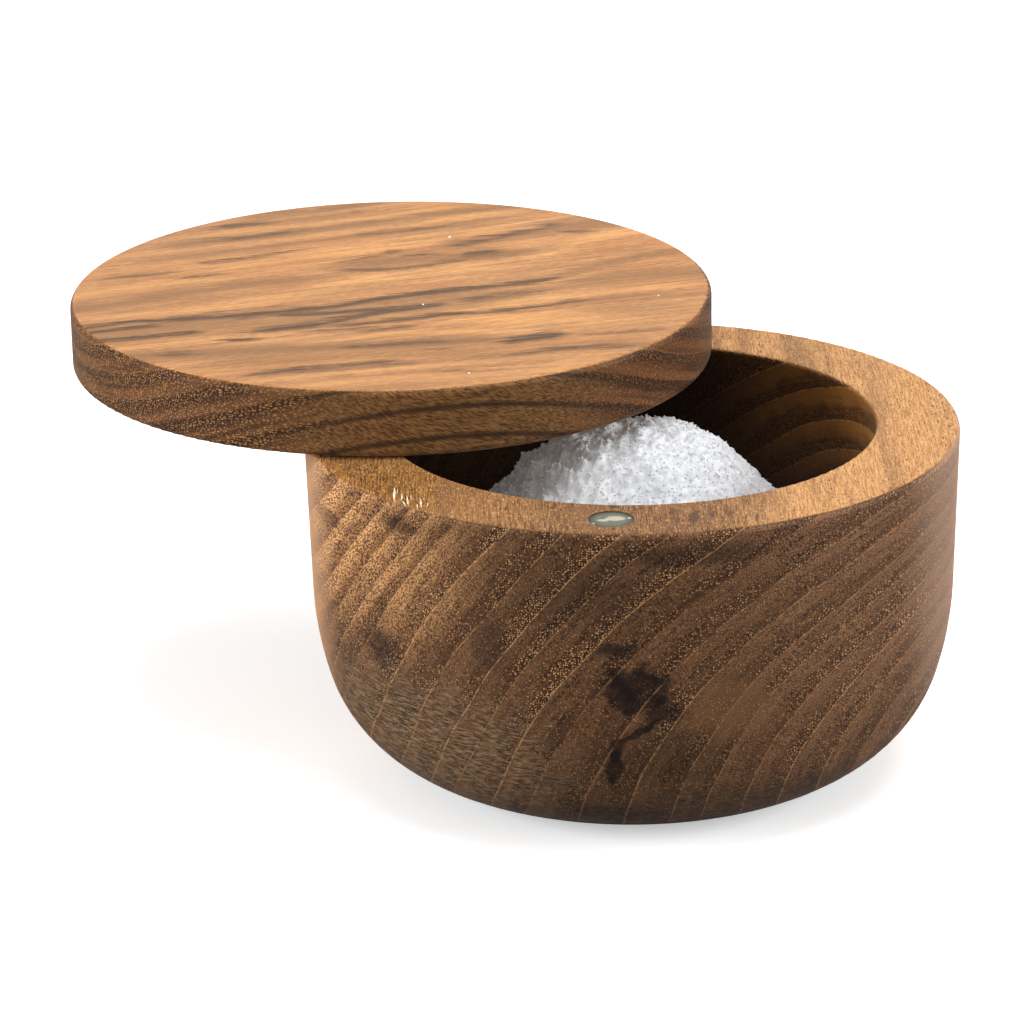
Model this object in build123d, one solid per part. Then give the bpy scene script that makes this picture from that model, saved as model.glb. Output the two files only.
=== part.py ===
"""Round wooden salt box: a turned bowl under a flat disc lid that swivels on a hidden pin.

The lid turns on a steel dowel set upright in the rim. Two disc magnets, one let into the rim
across from the dowel and one into the underside of the lid, meet when the box is closed and
hold the lid there. Each magnet is bedded in a thin cup of cured epoxy.

The origin is the centre of the foot, on the bowl's own axis. +Z is up and +Y points from the
axis to the dowel, so the bowl's magnet is on the -Y side. Every size is in millimetres.
"""

import os

from build123d import *

# Bowl, outside
bowl_diameter = 110.0
bowl_height = 58.5
foot_diameter = 67.0
hip_height = 16.8  # where the tight curve above the foot becomes the slow curve of the side
hip_inset = 3.0  # how far the hip lies inside the rim's radius
shoulder_height = 31.0  # where the slow curve becomes the nearly straight wall
shoulder_inset = 0.75

# Bowl, inside
rim_wall = 14.0  # width of the flat rim
floor_thickness = 11.5
cavity_corner_radius = 18.0

# Edges, as sanded
rim_outer_round = 1.0
rim_inner_round = 0.6
foot_round = 0.6
lid_edge_round = 1.1

# Lid
lid_overhang = 1.0  # past the bowl's rim, all round, when closed
lid_thickness = 11.6
lid_gap = 0.4  # between the rim and the underside of the lid
lid_swing = 71.0  # how far the lid is swung open, in degrees, clockwise from above

# Pivot dowel: pressed into the bowl, free to turn in the lid
dowel_diameter = 6.0
dowel_in_bowl = 22.0
dowel_in_lid = 7.0
dowel_chamfer = 0.6
dowel_end_gap = 0.5
dowel_running_clearance = 0.05  # on the radius

# Magnets and the epoxy they are bedded in
magnet_diameter = 7.0
magnet_thickness = 3.0
magnet_edge_round = 0.2
magnet_inset = 0.1  # below the face of the wood
glue_line = 0.25
catch_offset = 2.0  # how far the magnets lie off the line from the dowel across the axis, in degrees

bowl_radius = bowl_diameter / 2
lid_radius = bowl_radius + lid_overhang
cavity_radius = bowl_radius - rim_wall
rim_middle = bowl_radius - rim_wall / 2
lid_underside = bowl_height + lid_gap

dowel_centre = Vector(0, rim_middle, 0)
bowl_magnet_centre = Vector(0, -rim_middle, 0).rotate(Axis.Z, catch_offset)


def swung(closed_piece):
    """A piece of the lid, turned from where it is when closed to where the lid is at rest."""
    return closed_piece.rotate(Axis(dowel_centre, (0, 0, 1)), -lid_swing)


def cylinder_between(centre, radius, low, high):
    """An upright cylinder from one height to another."""
    base = Pos(centre.X, centre.Y, low)
    return base * Cylinder(radius, high - low, align=(Align.CENTER, Align.CENTER, Align.MIN))


def bowl_outer_profile():
    """Half of the bowl's outside as a closed face: foot, hip, side and rim."""
    foot_edge = (foot_diameter / 2, 0)
    hip = (bowl_radius - hip_inset, hip_height)
    shoulder = (bowl_radius - shoulder_inset, shoulder_height)
    rim_edge = (bowl_radius, bowl_height)
    wall = Line(rim_edge, shoulder)
    side = TangentArc(shoulder, hip, tangent=wall % 1)
    heel = TangentArc(hip, foot_edge, tangent=side % 1)
    axis_to_foot = Line(foot_edge, (0, 0))
    axis_line = Line((0, 0), (0, bowl_height))
    rim_line = Line((0, bowl_height), rim_edge)
    outline = Curve() + [wall, side, heel, axis_to_foot, axis_line, rim_line]
    return Plane.XZ * make_face(outline)


def cavity():
    """The hollow: a straight-sided well whose floor turns up into the wall in one large arc."""
    overshoot = 5.0
    well = cylinder_between(Vector(0, 0, 0), cavity_radius, floor_thickness, bowl_height + overshoot)
    floor_edge = well.edges().filter_by(GeomType.CIRCLE).sort_by(Axis.Z)[0]
    return fillet(floor_edge, cavity_corner_radius)


def rim_edge_at(solid, radius):
    """The circle of the given radius in the rim's plane."""
    circles = solid.edges().filter_by(GeomType.CIRCLE)
    in_rim = circles.filter_by(lambda edge: abs(edge.center().Z - bowl_height) < 1e-6)
    return in_rim.filter_by(lambda edge: abs(edge.radius - radius) < 1e-6)


def magnet_seat(centre, face_height, inward):
    """The hole that takes a magnet and its epoxy; inward is +1 above the face, -1 below it."""
    depth = magnet_inset + magnet_thickness + glue_line
    ends = sorted((face_height, face_height + inward * depth))
    return cylinder_between(centre, magnet_diameter / 2 + glue_line, *ends)


def bowl():
    """The turned bowl, with the dowel's hole and the magnet's seat drilled into its rim."""
    body = revolve(bowl_outer_profile(), Axis.Z)
    foot_edge = body.edges().filter_by(GeomType.CIRCLE).sort_by(Axis.Z)[0]
    body = fillet(foot_edge, foot_round)
    body = fillet(rim_edge_at(body, bowl_radius), rim_outer_round)
    body -= cavity()
    body = fillet(rim_edge_at(body, cavity_radius), rim_inner_round)
    body -= cylinder_between(dowel_centre, dowel_diameter / 2, bowl_height - dowel_in_bowl, bowl_height)
    body -= magnet_seat(bowl_magnet_centre, bowl_height, -1)
    return body


def lid():
    """The disc lid, with its dowel hole and magnet seat drilled from below."""
    disc = cylinder_between(Vector(0, 0, 0), lid_radius, lid_underside, lid_underside + lid_thickness)
    disc = fillet(disc.edges().filter_by(GeomType.CIRCLE), lid_edge_round)
    hole_radius = dowel_diameter / 2 + dowel_running_clearance
    hole_top = lid_underside + dowel_in_lid + dowel_end_gap
    disc -= cylinder_between(dowel_centre, hole_radius, lid_underside, hole_top)
    disc -= magnet_seat(bowl_magnet_centre, lid_underside, +1)
    return swung(disc)


def pivot_dowel():
    """The steel dowel: pressed into the bowl and standing up into the lid."""
    low = bowl_height - dowel_in_bowl
    pin = cylinder_between(dowel_centre, dowel_diameter / 2, low, lid_underside + dowel_in_lid)
    return chamfer(pin.edges().filter_by(GeomType.CIRCLE), dowel_chamfer)


def magnet(face_height, inward):
    """A disc magnet, set just below the face of the wood."""
    outer = face_height + inward * magnet_inset
    ends = sorted((outer, outer + inward * magnet_thickness))
    disc = cylinder_between(bowl_magnet_centre, magnet_diameter / 2, *ends)
    return fillet(disc.edges().filter_by(GeomType.CIRCLE), magnet_edge_round)


def magnet_glue(face_height, inward):
    """The cup of epoxy around and behind a magnet, level with the magnet's face."""
    outer = face_height + inward * magnet_inset
    inner = outer + inward * magnet_thickness
    ends = sorted((outer, inner + inward * glue_line))
    cup = cylinder_between(bowl_magnet_centre, magnet_diameter / 2 + glue_line, *ends)
    pocket = cylinder_between(bowl_magnet_centre, magnet_diameter / 2, *sorted((outer, inner)))
    return cup - pocket


nodes = {
    "bowl": bowl(),
    "pivot_dowel": pivot_dowel(),
    "bowl_magnet": magnet(bowl_height, -1),
    "bowl_magnet_glue": magnet_glue(bowl_height, -1),
    "lid": lid(),
    "lid_magnet": swung(magnet(lid_underside, +1)),
    "lid_magnet_glue": swung(magnet_glue(lid_underside, +1)),
}

os.makedirs("parts", exist_ok=True)
for name, solid in nodes.items():
    export_step(solid, f"parts/{name}.step")
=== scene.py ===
"""Looks of a turned wooden salt box: an end-grain bowl, a disc lid that swivels on a hidden pin,
a magnet catch in the rim and a heap of coarse salt.

Lengths in the model are metres. The wood patterns are laid out in millimetres, in the frame of the
closed box: X across the grain, Y along the grain, towards the pin, and Z up.
"""

import math
import random

import bpy
from mathutils import Matrix, Vector, noise


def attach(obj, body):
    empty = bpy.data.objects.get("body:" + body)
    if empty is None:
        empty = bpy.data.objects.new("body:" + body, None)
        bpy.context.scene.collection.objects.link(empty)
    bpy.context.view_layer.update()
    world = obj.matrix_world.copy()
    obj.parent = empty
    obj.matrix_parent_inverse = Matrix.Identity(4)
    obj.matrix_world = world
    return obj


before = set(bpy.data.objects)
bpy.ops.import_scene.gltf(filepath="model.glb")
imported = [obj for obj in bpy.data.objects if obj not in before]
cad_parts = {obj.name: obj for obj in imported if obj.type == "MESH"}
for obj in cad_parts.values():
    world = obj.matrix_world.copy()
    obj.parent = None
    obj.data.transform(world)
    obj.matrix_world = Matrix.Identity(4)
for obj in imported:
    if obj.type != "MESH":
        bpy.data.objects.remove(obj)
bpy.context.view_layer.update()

MILLIMETRE = 0.001
METRE = 1000.0  # in millimetres


# ---------------------------------------------------------------- camera

image_width = 1024
focal_length_in_pixels = 4500.0
camera_sensor = 36.0
camera_aim = Vector((-20.12, -2.67, 42.52)) * MILLIMETRE
camera_distance = 760.8 * MILLIMETRE
camera_elevation = math.degrees(0.35025)
camera_azimuth = math.degrees(0.13168)
camera_roll = math.degrees(-0.01754)
camera_clip_start = 0.05
camera_clip_end = 20.0


def make_camera():
    """The camera looks down at the box from the front, a little to the right of the catch."""
    elevation = math.radians(camera_elevation)
    azimuth = math.radians(camera_azimuth)
    roll = math.radians(camera_roll)
    towards = Vector((-math.sin(azimuth) * math.cos(elevation),
                      math.cos(azimuth) * math.cos(elevation),
                      -math.sin(elevation)))
    level_right = Vector((math.cos(azimuth), math.sin(azimuth), 0.0))
    level_up = level_right.cross(towards)
    right = math.cos(roll) * level_right + math.sin(roll) * level_up
    up = math.cos(roll) * level_up - math.sin(roll) * level_right
    data = bpy.data.cameras.new("view")
    data.sensor_width = camera_sensor
    data.lens = focal_length_in_pixels / image_width * camera_sensor
    data.clip_start = camera_clip_start
    data.clip_end = camera_clip_end
    camera = bpy.data.objects.new("view", data)
    turn = Matrix((right, up, -towards)).transposed()
    camera.matrix_world = Matrix.Translation(camera_aim - towards * camera_distance) @ turn.to_4x4()
    bpy.context.scene.collection.objects.link(camera)
    bpy.context.scene.camera = camera


# ---------------------------------------------------------------- node bench

def tone(red, green, blue):
    """A colour as the eye reads it, in steps of 255, turned into what a shader takes."""
    def light(step):
        share = step / 255
        return share / 12.92 if share <= 0.04045 else ((share + 0.055) / 1.055) ** 2.4
    return light(red), light(green), light(blue), 1.0


class Bench:
    """Lays nodes out in one tree. Each call adds a node and gives back what it puts out."""

    def __init__(self, tree):
        self.tree = tree

    def add(self, kind, **choices):
        node = self.tree.nodes.new("ShaderNode" + kind)
        for choice, value in choices.items():
            setattr(node, choice, value)
        return node

    def feed(self, socket, value):
        if isinstance(value, bpy.types.NodeSocket):
            self.tree.links.new(value, socket)
        else:
            socket.default_value = value

    def math(self, operation, *terms, clamp=False):
        node = self.add("Math", operation=operation, use_clamp=clamp)
        for socket, term in zip(node.inputs, terms):
            self.feed(socket, term)
        return node.outputs[0]

    def folded(self, operation, terms):
        total = terms[0]
        for term in terms[1:]:
            total = self.math(operation, total, term)
        return total

    def sum(self, *terms):
        return self.folded("ADD", terms)

    def product(self, *terms):
        return self.folded("MULTIPLY", terms)

    def less(self, first, second):
        """The first less the second."""
        return self.math("SUBTRACT", first, second)

    def swing(self, value, weight):
        """A value that runs from 0 to 1, taken about its middle and weighted."""
        return self.product(self.less(value, 0.5), weight)

    def most(self, terms):
        return self.folded("MAXIMUM", terms)

    def vector(self, operation, *terms):
        node = self.add("VectorMath", operation=operation)
        for socket, term in zip(node.inputs, terms):
            self.feed(socket, term)
        scalar = operation in ("DOT_PRODUCT", "LENGTH", "DISTANCE")
        return node.outputs["Value" if scalar else "Vector"]

    def apart(self, vector):
        node = self.add("SeparateXYZ")
        self.feed(node.inputs[0], vector)
        return node.outputs

    def together(self, x, y, z):
        node = self.add("CombineXYZ")
        for socket, value in zip(node.inputs, (x, y, z)):
            self.feed(socket, value)
        return node.outputs[0]

    def step(self, value, low, high, bottom=0.0, top=1.0):
        """Rises smoothly from bottom at low to top at high.

        Clamp stays off. A smooth step keeps to its ends without it, and it adds a node that is worked
        out late, so the lid's strokes would all be held at once, more than a shader has room for.
        """
        node = self.add("MapRange", interpolation_type="SMOOTHSTEP", clamp=False)
        for socket, term in zip(node.inputs, (value, low, high, bottom, top)):
            self.feed(socket, term)
        return node.outputs[0]

    def ramp(self, value, low, high, bottom=0.0, top=1.0):
        """Rises in a straight line from bottom at low to top at high."""
        node = self.add("MapRange", clamp=True)
        for socket, term in zip(node.inputs, (value, low, high, bottom, top)):
            self.feed(socket, term)
        return node.outputs[0]

    def noise(self, position, scale=1.0, detail=2.0, roughness=0.5):
        node = self.add("TexNoise", noise_dimensions="3D")
        self.feed(node.inputs["Vector"], position)
        self.feed(node.inputs["Scale"], scale)
        self.feed(node.inputs["Detail"], detail)
        self.feed(node.inputs["Roughness"], roughness)
        return node.outputs["Fac"]

    def chance(self, value):
        """A random number from 0 to 1, the same wherever the value is the same."""
        node = self.add("TexWhiteNoise", noise_dimensions="1D")
        self.feed(node.inputs["W"], value)
        return node.outputs["Value"]

    def mix(self, share, first, second, how="MIX"):
        """A colour that goes from first to second."""
        node = self.add("Mix", data_type="RGBA", blend_type=how, clamp_factor=True)
        self.feed(node.inputs[0], share)
        self.feed(node.inputs[6], first)
        self.feed(node.inputs[7], second)
        return node.outputs[2]

    def between(self, share, first, second):
        """A number that goes from first to second."""
        node = self.add("Mix", data_type="FLOAT", clamp_factor=True)
        self.feed(node.inputs[0], share)
        self.feed(node.inputs[2], first)
        self.feed(node.inputs[3], second)
        return node.outputs[0]

    def curve(self, value, points, straight=False):
        """A number read off a drawn line. Both axes run from 0 to 1."""
        node = self.add("FloatCurve")
        line = node.mapping.curves[0]
        while len(line.points) < len(points):
            line.points.new(0.5, 0.5)
        for point, (across, up) in zip(line.points, points):
            point.location = (across, up)
            point.handle_type = "VECTOR" if straight else "AUTO"
        node.mapping.update()
        self.feed(node.inputs["Value"], value)
        return node.outputs[0]

    def use(self, group, terms):
        """Places a node group and feeds its named inputs. Gives back its outputs."""
        node = self.add("Group", node_tree=bpy.data.node_groups[group])
        for name, value in terms.items():
            self.feed(node.inputs[name], value)
        return node.outputs

    def tint(self, colour, mask, share, tint):
        """Lays a tint over a colour where the mask is, up to the share."""
        return self.mix(self.product(mask, share), colour, tint)

    def glaze(self, colour, value, low, high, share, tint):
        """Lays a tint over a colour, up to the share, as a value goes from low to high."""
        return self.tint(colour, self.step(value, low, high), share, tint)

    def graded(self, value, low, high, first, second):
        """A colour that goes from first to second as a value goes from low to high."""
        return self.mix(self.step(value, low, high), first, second)

    def fibres(self, position, thickness, length, detail):
        """Streaks along the grain, by how thick and how long they are."""
        return self.use("fibres", {"Position": position, "Thickness": thickness, "Length": length,
                                   "Detail": detail})["Value"]

    def pores(self, position, pitch, dash, size, share, scatter):
        """Pores a pitch apart, a share of each dash long. Gives back their mask and shade."""
        return self.use("pores", {"Position": position, "Pitch": pitch, "Dash": dash, "Size": size,
                                  "Share": share, "Scatter": scatter})

    def blot(self, position, centre, reach, ragged, grain_size, soft):
        """A soft-edged stain round a centre."""
        return self.use("blot", {"Position": position, "Centre": centre, "Reach": reach,
                                 "Ragged": ragged, "Grain Size": grain_size, "Soft": soft})["Mask"]


def new_group(name, takes, gives):
    """An empty node group with named sockets. Gives back its bench, its inputs and its outputs."""
    tree = bpy.data.node_groups.new(name, "ShaderNodeTree")
    for socket_name, kind, default in takes:
        socket = tree.interface.new_socket(socket_name, in_out="INPUT", socket_type=kind)
        socket.default_value = default
    for socket_name, kind in gives:
        tree.interface.new_socket(socket_name, in_out="OUTPUT", socket_type=kind)
    entry = tree.nodes.new("NodeGroupInput").outputs
    way_out = tree.nodes.new("NodeGroupOutput").inputs
    return Bench(tree), entry, way_out


NUMBER = "NodeSocketFloat"
POINT = "NodeSocketVector"


# ---------------------------------------------------------------- effects shared by the woods

ring_drift = 2.0  # how far the rings stray, slowly and quickly, in millimetres
ring_ripple = 0.35
streak_point = 0.06  # a streak's width at its very ends, as a share of its full width


def make_growth_rings():
    """How far a point lies from the heart of the tree, and its direction, with a slow waver."""
    bench, takes, gives = new_group(
        "growth_rings",
        [("Position", POINT, (0, 0, 0)), ("Heart X", NUMBER, 0), ("Heart Z", NUMBER, 0),
         ("Waver", NUMBER, 1)],
        [("Radius", NUMBER), ("Angle", NUMBER)])
    slow = bench.vector("MULTIPLY", takes["Position"], (0.045, 0.012, 0.045))
    quick = bench.vector("MULTIPLY", takes["Position"], (0.25, 0.03, 0.25))
    drift = bench.less(bench.noise(slow, detail=1.0), 0.5)
    ripple = bench.less(bench.noise(quick, detail=2.0), 0.5)
    x, _, z = bench.apart(takes["Position"])
    out = bench.less(takes["Heart X"], x)
    up = bench.less(z, takes["Heart Z"])
    radius = bench.vector("LENGTH", bench.together(out, up, 0.0))
    waver = bench.product(bench.sum(bench.product(drift, ring_drift),
                                    bench.product(ripple, ring_ripple)),
                          takes["Waver"])
    bench.feed(gives["Radius"], bench.sum(radius, waver))
    bench.feed(gives["Angle"], bench.math("ARCTAN2", up, out))


def make_pores():
    """Pores: broken tubes along the grain, so they are dots on end grain and dashes along it."""
    bench, takes, gives = new_group(
        "pores",
        [("Position", POINT, (0, 0, 0)), ("Pitch", NUMBER, 0.6), ("Dash", NUMBER, 6),
         ("Size", NUMBER, 0.3), ("Share", NUMBER, 1), ("Scatter", NUMBER, 0.75)],
        [("Mask", NUMBER), ("Shade", NUMBER)])
    x, y, z = bench.apart(takes["Position"])
    cells = bench.add("TexVoronoi", voronoi_dimensions="2D", feature="F1")
    bench.feed(cells.inputs["Randomness"], takes["Scatter"])
    bench.feed(cells.inputs["Vector"],
               bench.vector("DIVIDE", bench.together(x, z, 0.0),
                            bench.together(takes["Pitch"], takes["Pitch"], 1.0)))
    bench.feed(cells.inputs["Scale"], 1.0)
    chance, bright, wide = bench.apart(cells.outputs["Color"])
    size = bench.product(takes["Size"], bench.ramp(wide, 0.0, 1.0, 0.7, 1.3))
    inside = bench.step(cells.outputs["Distance"], size, bench.product(size, 0.4))
    stretch = bench.math("FRACT", bench.math("MULTIPLY_ADD", chance, 17.3,
                                             bench.math("DIVIDE", y, takes["Dash"])))
    there = bench.math("LESS_THAN", stretch, takes["Share"])
    bench.feed(gives["Mask"], bench.product(inside, there))
    bench.feed(gives["Shade"], bright)


def make_fibres():
    """Fine streaks along the grain."""
    bench, takes, gives = new_group(
        "fibres",
        [("Position", POINT, (0, 0, 0)), ("Thickness", NUMBER, 0.5), ("Length", NUMBER, 10),
         ("Detail", NUMBER, 2)],
        [("Value", NUMBER)])
    reach = bench.together(takes["Thickness"], takes["Length"], takes["Thickness"])
    streaks = bench.vector("DIVIDE", takes["Position"], reach)
    bench.feed(gives["Value"], bench.noise(streaks, detail=takes["Detail"]))


def make_grain_facing():
    """1 where a face cuts across the grain, 0 where it lies along it."""
    bench, takes, gives = new_group(
        "grain_facing",
        [("Normal", POINT, (0, 0, 1)), ("Grain", POINT, (0, 1, 0)), ("Along", NUMBER, 0.15),
         ("Across", NUMBER, 0.5)],
        [("End Grain", NUMBER)])
    cut = bench.math("ABSOLUTE", bench.vector("DOT_PRODUCT", takes["Normal"], takes["Grain"]))
    bench.feed(gives["End Grain"], bench.step(cut, takes["Along"], takes["Across"]))


def make_blot():
    """A soft-edged stain with a ragged outline."""
    bench, takes, gives = new_group(
        "blot",
        [("Position", POINT, (0, 0, 0)), ("Centre", POINT, (0, 0, 0)), ("Reach", POINT, (1, 1, 1)),
         ("Ragged", NUMBER, 0.4), ("Grain Size", NUMBER, 3), ("Soft", NUMBER, 0.5)],
        [("Mask", NUMBER)])
    offset = bench.vector("SUBTRACT", takes["Position"], takes["Centre"])
    away = bench.vector("LENGTH", bench.vector("DIVIDE", offset, takes["Reach"]))
    size = bench.math("DIVIDE", 1.0, takes["Grain Size"])
    rough = bench.less(bench.noise(takes["Position"], size, detail=4.0, roughness=0.6), 0.5)
    edge = bench.math("MULTIPLY_ADD", bench.product(rough, 2.0), takes["Ragged"], away)
    inner = bench.less(1.0, takes["Soft"])
    bench.feed(gives["Mask"], bench.step(edge, 1.0, inner))


def make_streak():
    """A drawn-out streak: how near a point is to the streak's line, between its two ends."""
    bench, takes, gives = new_group(
        "streak",
        [("Along", NUMBER, 0), ("Across", NUMBER, 0), ("Line", NUMBER, 0), ("Half Width", NUMBER, 1),
         ("Start", NUMBER, 0), ("End", NUMBER, 1), ("Taper", NUMBER, 3), ("Strength", NUMBER, 1)],
        [("Mask", NUMBER)])
    away = bench.math("ABSOLUTE", bench.less(takes["Across"], takes["Line"]))
    after = bench.less(takes["Along"], takes["Start"])
    before = bench.less(takes["End"], takes["Along"])
    from_start = bench.step(after, 0.0, takes["Taper"])
    to_end = bench.step(before, 0.0, takes["Taper"])
    body = bench.product(from_start, to_end)
    width = bench.product(takes["Half Width"],
                          bench.math("MULTIPLY_ADD", body, 1.0 - streak_point, streak_point))
    near = bench.step(away, width, 0.0)
    bench.feed(gives["Mask"], bench.product(near, body, takes["Strength"]))


for make_effect in (make_growth_rings, make_pores, make_fibres, make_grain_facing, make_blot,
                    make_streak):
    make_effect()


def new_material(name, roughness, **settings):
    """A material with a Principled shader. Gives back the material, its bench and the shader."""
    material = bpy.data.materials.new(name)
    material.use_nodes = True
    material.node_tree.nodes.clear()
    bench = Bench(material.node_tree)
    shader = bench.add("BsdfPrincipled")
    result = bench.add("OutputMaterial")
    bench.feed(result.inputs["Surface"], shader.outputs[0])
    shader.inputs["Roughness"].default_value = roughness
    for socket_name, value in settings.items():
        shader.inputs[socket_name.replace("_", " ")].default_value = value
    return material, bench, shader


def wood_position(bench, turned_back=None):
    """Where a point lies in the closed box, in millimetres, and which way the surface faces."""
    place = bench.add("TexCoord")
    position = bench.vector("MULTIPLY", place.outputs["Object"], (METRE, METRE, METRE))
    normal = place.outputs["Normal"]
    if turned_back is not None:
        centre, degrees = turned_back
        turned = []
        for vector, middle in ((position, centre), (normal, (0, 0, 0))):
            node = bench.add("VectorRotate", rotation_type="Z_AXIS")
            bench.feed(node.inputs["Vector"], vector)
            bench.feed(node.inputs["Center"], middle)
            bench.feed(node.inputs["Angle"], math.radians(degrees))
            turned.append(node.outputs[0])
        position, normal = turned
    return position, normal


def add_bump(bench, shader, height, distance, strength=1.0):
    """Raises the surface by the height, in metres."""
    bump = bench.add("Bump")
    bench.feed(bump.inputs["Height"], height)
    bench.feed(bump.inputs["Distance"], distance)
    bench.feed(bump.inputs["Strength"], strength)
    bench.feed(shader.inputs["Normal"], bump.outputs[0])


# ---------------------------------------------------------------- bowl wood

# How an oiled wood shines: hardly at all face on, more at a glance
oiled = {"Specular_IOR_Level": 0.1, "Sheen_Weight": 0.05, "Sheen_Roughness": 0.3}
rim_height = 58.5
bowl_grain_lean = 0.14
bowl_grain = Vector((-bowl_grain_lean, 1.0, 0.0)).normalized()
bowl_heart_x = 70.0
bowl_heart_z = -22.0
nearest_ring = 20.0
farthest_ring = 160.0
bowl_ring_radii = (20.0, 26.0, 32.0, 38.0, 44.0, 49.5, 55.0, 60.0, 65.5, 69.5, 75.5, 81.0, 87.5, 93.0,
                   99.3, 103.5, 109.5, 116.0, 122.5, 126.0, 129.0, 132.5, 136.0, 140.0, 144.0, 148.0,
                   152.0, 156.0, 160.0)


bowl_front_stains = (
    # centre (x, z), reach (x, z), darkness, ragged, blotch size, softness
    ((6.0, 32.0), (7.0, 5.0), 1.0, 0.9, 3.0, 0.45),
    ((3.0, 38.8), (4.6, 1.8), 0.85, 0.6, 2.5, 0.7),
    ((10.5, 27.8), (5.5, 2.6), 0.8, 0.9, 2.5, 0.7),
    ((9.0, 20.0), (16.0, 9.0), 0.35, 0.8, 5.0, 0.9),
    ((-18.0, 39.0), (6.0, 9.0), 0.45, 0.9, 6.0, 0.9),
    ((-37.0, 32.0), (4.5, 4.5), 0.75, 0.6, 3.0, 0.7),
    ((-41.0, 18.5), (5.0, 2.5), 0.5, 0.6, 3.0, 0.7),
    ((-34.0, 23.0), (9.0, 6.0), 0.4, 0.8, 4.0, 0.8),
    ((1.0, 7.0), (11.0, 3.2), 0.75, 0.5, 3.0, 0.7),
    ((-7.0, 14.0), (5.0, 1.6), 0.45, 0.6, 3.0, 0.7),
    ((12.0, 19.0), (6.0, 5.0), 0.35, 0.8, 3.5, 0.8),
    ((-48.0, 50.0), (5.0, 2.4), 0.6, 0.5, 3.0, 0.7),
    ((-33.0, 55.0), (5.0, 2.2), 0.65, 0.5, 3.0, 0.7),
    ((14.0, 54.5), (17.0, 2.6), 0.6, 0.4, 5.0, 0.7),
    ((32.0, 8.0), (14.0, 5.0), 0.4, 0.6, 6.0, 0.9),
    ((-4.0, 48.0), (22.0, 9.0), 0.4, 0.6, 8.0, 0.9),
)
# Short dark checks in the rim: centre (x, y), half width and half length
bowl_rim_checks = (
    (-8.0, -42.8, 0.45, 2.6),
    (-15.5, -44.5, 0.35, 2.0),
    (11.0, -43.6, 0.6, 2.4),
    (12.1, -48.0, 0.5, 2.2),
    (14.6, -46.4, 1.1, 5.0),
    (17.4, -45.0, 0.5, 2.9),
    (20.2, -43.6, 0.6, 2.4),
    (24.5, -45.2, 0.4, 2.6),
)
bowl_crack = ((14.0, 1.8), (19.5, 2.5), (22.4, 3.2), (23.4, 5.0), (25.5, 8.0), (28.2, 11.8))
bowl_front_depth = -18.0
crack_frame = 60.0  # the crack's line is drawn in a square this wide
crack_wander = 2.6
crack_half_width = 2.0
crack_low = 10.5
crack_high = 31.0
crack_taper = 8.0
ring_lean = 0.45  # how much the inner rings lean over
ring_lean_radius = 88.0
ring_lean_angle = 0.8
end_pore_pitch = 0.41
end_pore_dash = 9.0
end_pore_scatter = 0.7
end_pore_size = 0.4
dark_pore_size = 0.62
arc_stretch = 90.0
inside_wall_radius = 41.3
bowl_stain = tone(30, 21, 18)
bowl_relief = 0.00012

# Tones of the bowl: end grain, its pores, long grain, the lining, which is darkened partly by painted
# shade, and the painted sheen at its sides
end_dark = tone(36, 24, 17)
end_brown = tone(80, 54, 37)
pale_end_dark = tone(70, 45, 30)
pale_end_light = tone(122, 83, 53)
gold_dark = tone(150, 104, 66)
gold_light = tone(230, 178, 122)
long_grain_dark = tone(152, 102, 56)
long_grain_light = tone(216, 162, 104)
olive_dark = tone(58, 34, 8)
olive_light = tone(154, 102, 42)
lining_dark_shaded = tone(44, 22, 7)
lining_light_shaded = tone(136, 88, 36)
lining_shadow = tone(30, 13, 4)
# Painted sheen: paler tones for the sides where they curve away from view
painted_sheen_left = tone(216, 168, 130)
painted_sheen_right = tone(180, 148, 126)


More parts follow.
